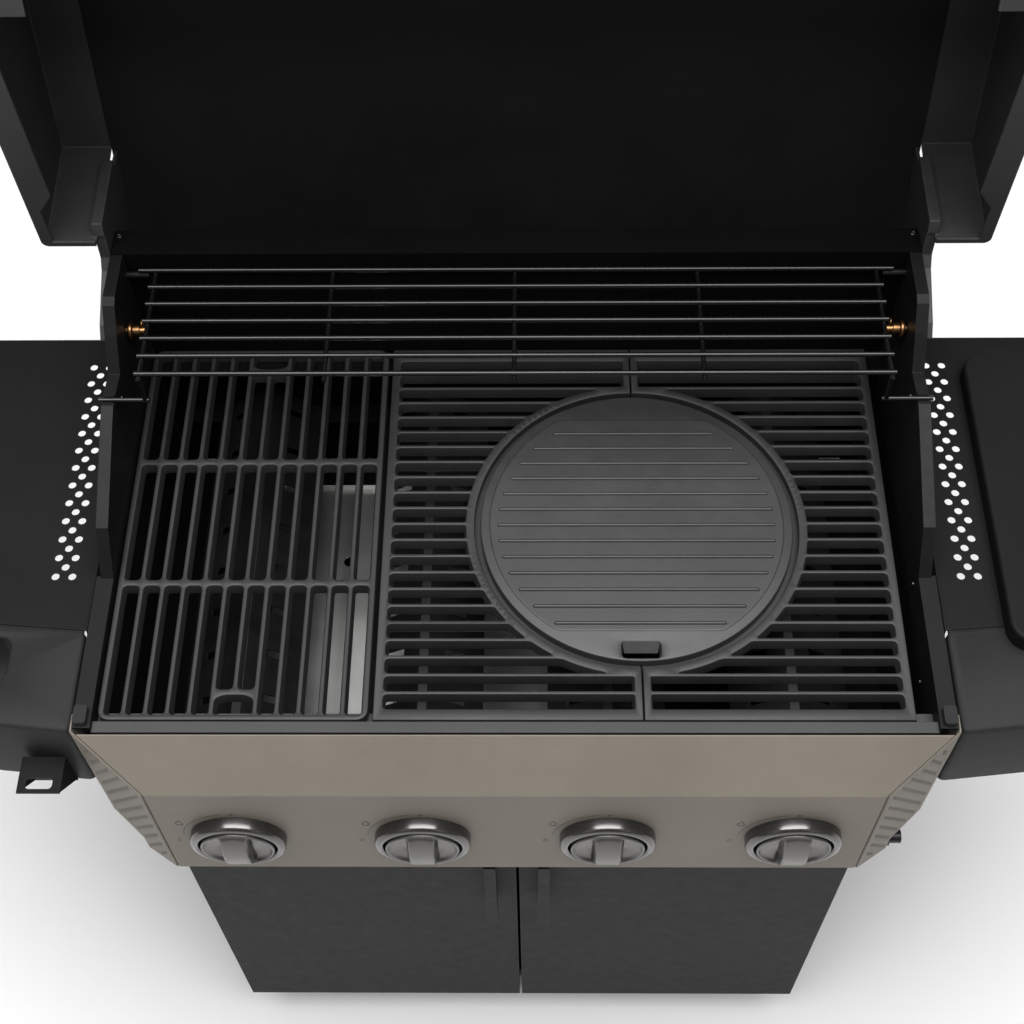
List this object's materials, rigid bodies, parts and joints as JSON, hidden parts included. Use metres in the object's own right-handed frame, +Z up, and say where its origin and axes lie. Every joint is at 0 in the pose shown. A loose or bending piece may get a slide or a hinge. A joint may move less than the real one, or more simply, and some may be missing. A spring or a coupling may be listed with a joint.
{
  "type": "gas barbecue",
  "caption": "Gas barbecue with its lid open: cast grates and a round griddle over a firebox, side shelves, knobs on a sloping panel, and a closed cabinet on castors.",
  "frame": {"origin": "on the floor at the middle of the overall footprint, lid open", "axes": "+Z up, -Y towards the cook at the front, +X to the cook's right"},
  "size_m": [1.33, 0.6532, 1.4565],
  "materials": {
    "black_enamel": "satin black enamelled steel",
    "lid_enamel": "semi-gloss black enamelled steel",
    "lid_casting": "dark grey painted aluminium casting",
    "cast_iron": "matt enamelled cast iron",
    "stainless": "brushed",
    "panel_paint": "satin metallic taupe",
    "shelf_paint": "fine textured black powder coat",
    "shelf_plastic": "fine grained",
    "knob_black": "satin grey metal finish",
    "bezel_black": "satin dark grey metal finish",
    "brass": "turned brass",
    "aluminium": "pressed aluminised sheet",
    "rubber": "matt",
    "tyre": "matt"
  },
  "bodies": {
    "cart": {"cabinet_left_side": "shelf_paint", "cabinet_right_side": "shelf_paint", "cabinet_back": "shelf_paint", "cabinet_floor": "shelf_paint", "firebox_left_side": "black_enamel", "firebox_right_side": "black_enamel", "firebox_front": "black_enamel", "firebox_back": "black_enamel", "firebox_floor": "black_enamel", "lid_bumpers": "rubber", "burner_1": "stainless", "burner_2": "stainless", "burner_3": "stainless", "burner_4": "stainless", "flame_tamers": "stainless", "control_panel": "panel_paint", "panel_wings": "panel_paint", "knob_bezels": "bezel_black", "gas_manifold": "black_enamel", "hinge_pins": "brass", "left_shelf": "shelf_paint", "right_shelf": "shelf_paint", "left_shelf_front": "shelf_plastic", "right_shelf_front": "shelf_plastic", "side_burner": "brass", "side_burner_trivet": "cast_iron", "bottle_opener": "shelf_paint"},
    "lid": {"lid_shell": "lid_enamel", "lid_left_end": "lid_casting", "lid_right_end": "lid_casting", "lid_handle": "stainless", "lid_handle_brackets": "lid_casting", "lid_thermometer": "stainless"},
    "warming_rack": {"warming_rack": "black_enamel"},
    "left_grate": {"grate_left": "cast_iron"},
    "ring_grates": {"grate_centre": "cast_iron", "grate_right": "cast_iron"},
    "griddle": {"griddle_insert": "cast_iron"},
    "grease_tray": {"grease_tray": "aluminium"},
    "side_burner_lid": {"side_burner_lid": "shelf_paint"},
    "left_door": {"left_door": "shelf_paint"},
    "right_door": {"right_door": "shelf_paint"},
    "stem_1": {"valve_stem_1": "aluminium"},
    "knob_1": {"knob_1": "knob_black"},
    "stem_2": {"valve_stem_2": "aluminium"},
    "knob_2": {"knob_2": "knob_black"},
    "stem_3": {"valve_stem_3": "aluminium"},
    "knob_3": {"knob_3": "knob_black"},
    "stem_4": {"valve_stem_4": "aluminium"},
    "knob_4": {"knob_4": "knob_black"},
    "stem_side": {"valve_stem_side": "aluminium"},
    "knob_side": {"knob_side": "knob_black"},
    "castor_1": {"castor_fork_1": "black_enamel"},
    "wheel_1": {"castor_wheel_1": "tyre"},
    "castor_2": {"castor_fork_2": "black_enamel"},
    "wheel_2": {"castor_wheel_2": "tyre"},
    "castor_3": {"castor_fork_3": "black_enamel"},
    "wheel_3": {"castor_wheel_3": "tyre"},
    "castor_4": {"castor_fork_4": "black_enamel"},
    "wheel_4": {"castor_wheel_4": "tyre"}
  },
  "joints": [
    {"name": "lid_hinge", "type": "hinge", "parent": "cart", "child": "lid", "pos_m": [0, 0.13087, 0.993], "axis": [-1, 0, 0], "range_deg": [-105, 0]},
    {"name": "warming_rack_lift", "type": "slide", "parent": "cart", "child": "warming_rack", "axis": [0, 0, 1], "range_m": [0, 0.1]},
    {"name": "left_grate_lift", "type": "slide", "parent": "cart", "child": "left_grate", "axis": [0, 0, 1], "range_m": [0, 0.06]},
    {"name": "ring_grates_lift", "type": "slide", "parent": "cart", "child": "ring_grates", "axis": [0, 0, 1], "range_m": [0, 0.06]},
    {"name": "griddle_lift", "type": "slide", "parent": "ring_grates", "child": "griddle", "axis": [0, 0, 1], "range_m": [0, 0.08]},
    {"name": "grease_tray_slide", "type": "slide", "parent": "cart", "child": "grease_tray", "axis": [0, 1, 0], "range_m": [0, 0.3]},
    {"name": "side_burner_lid_hinge", "type": "hinge", "parent": "cart", "child": "side_burner_lid", "pos_m": [0.552, 0.16987, 0.8995], "axis": [-1, 0, 0], "range_deg": [0, 95]},
    {"name": "left_door_hinge", "type": "hinge", "parent": "cart", "child": "left_door", "pos_m": [-0.344, -0.23813, 0.38], "axis": [0, 0, -1], "range_deg": [0, 92]},
    {"name": "right_door_hinge", "type": "hinge", "parent": "cart", "child": "right_door", "pos_m": [0.344, -0.23813, 0.38], "axis": [0, 0, 1], "range_deg": [0, 92]},
    {"name": "knob_1_push", "type": "slide", "parent": "cart", "child": "stem_1", "axis": [0, 1, 0], "range_m": [0, 0.0035], "stiffness_N_per_m": 500, "springref_m": -0.004},
    {"name": "knob_1_turn", "type": "hinge", "parent": "stem_1", "child": "knob_1", "pos_m": [-0.2625, -0.30413, 0.7585], "axis": [0, -1, 0], "range_deg": [0, 180]},
    {"name": "knob_2_push", "type": "slide", "parent": "cart", "child": "stem_2", "axis": [0, 1, 0], "range_m": [0, 0.0035], "stiffness_N_per_m": 500, "springref_m": -0.004},
    {"name": "knob_2_turn", "type": "hinge", "parent": "stem_2", "child": "knob_2", "pos_m": [-0.0875, -0.30413, 0.7585], "axis": [0, -1, 0], "range_deg": [0, 180]},
    {"name": "knob_3_push", "type": "slide", "parent": "cart", "child": "stem_3", "axis": [0, 1, 0], "range_m": [0, 0.0035], "stiffness_N_per_m": 500, "springref_m": -0.004},
    {"name": "knob_3_turn", "type": "hinge", "parent": "stem_3", "child": "knob_3", "pos_m": [0.0875, -0.30413, 0.7585], "axis": [0, -1, 0], "range_deg": [0, 180]},
    {"name": "knob_4_push", "type": "slide", "parent": "cart", "child": "stem_4", "axis": [0, 1, 0], "range_m": [0, 0.0035], "stiffness_N_per_m": 500, "springref_m": -0.004},
    {"name": "knob_4_turn", "type": "hinge", "parent": "stem_4", "child": "knob_4", "pos_m": [0.2625, -0.30413, 0.7585], "axis": [0, -1, 0], "range_deg": [0, 180]},
    {"name": "knob_side_push", "type": "slide", "parent": "cart", "child": "stem_side", "axis": [0, 1, 0], "range_m": [0, 0.0035], "stiffness_N_per_m": 500, "springref_m": -0.004},
    {"name": "knob_side_turn", "type": "hinge", "parent": "stem_side", "child": "knob_side", "pos_m": [0.56, -0.24513, 0.84], "axis": [0, -1, 0], "range_deg": [0, 180]},
    {"name": "castor_1_swivel", "type": "hinge", "parent": "cart", "child": "castor_1", "pos_m": [-0.3, -0.18213, 0.095], "axis": [0, 0, 1], "continuous": true},
    {"name": "castor_1_roll", "type": "hinge", "parent": "castor_1", "child": "wheel_1", "pos_m": [-0.3, -0.15813, 0.0375], "axis": [1, 0, 0], "continuous": true},
    {"name": "castor_2_swivel", "type": "hinge", "parent": "cart", "child": "castor_2", "pos_m": [0.3, -0.18213, 0.095], "axis": [0, 0, 1], "continuous": true},
    {"name": "castor_2_roll", "type": "hinge", "parent": "castor_2", "child": "wheel_2", "pos_m": [0.3, -0.15813, 0.0375], "axis": [1, 0, 0], "continuous": true},
    {"name": "castor_3_swivel", "type": "hinge", "parent": "cart", "child": "castor_3", "pos_m": [-0.3, 0.11787, 0.095], "axis": [0, 0, 1], "continuous": true},
    {"name": "castor_3_roll", "type": "hinge", "parent": "castor_3", "child": "wheel_3", "pos_m": [-0.3, 0.14187, 0.0375], "axis": [1, 0, 0], "continuous": true},
    {"name": "castor_4_swivel", "type": "hinge", "parent": "cart", "child": "castor_4", "pos_m": [0.3, 0.11787, 0.095], "axis": [0, 0, 1], "continuous": true},
    {"name": "castor_4_roll", "type": "hinge", "parent": "castor_4", "child": "wheel_4", "pos_m": [0.3, 0.14187, 0.0375], "axis": [1, 0, 0], "continuous": true}
  ]
}
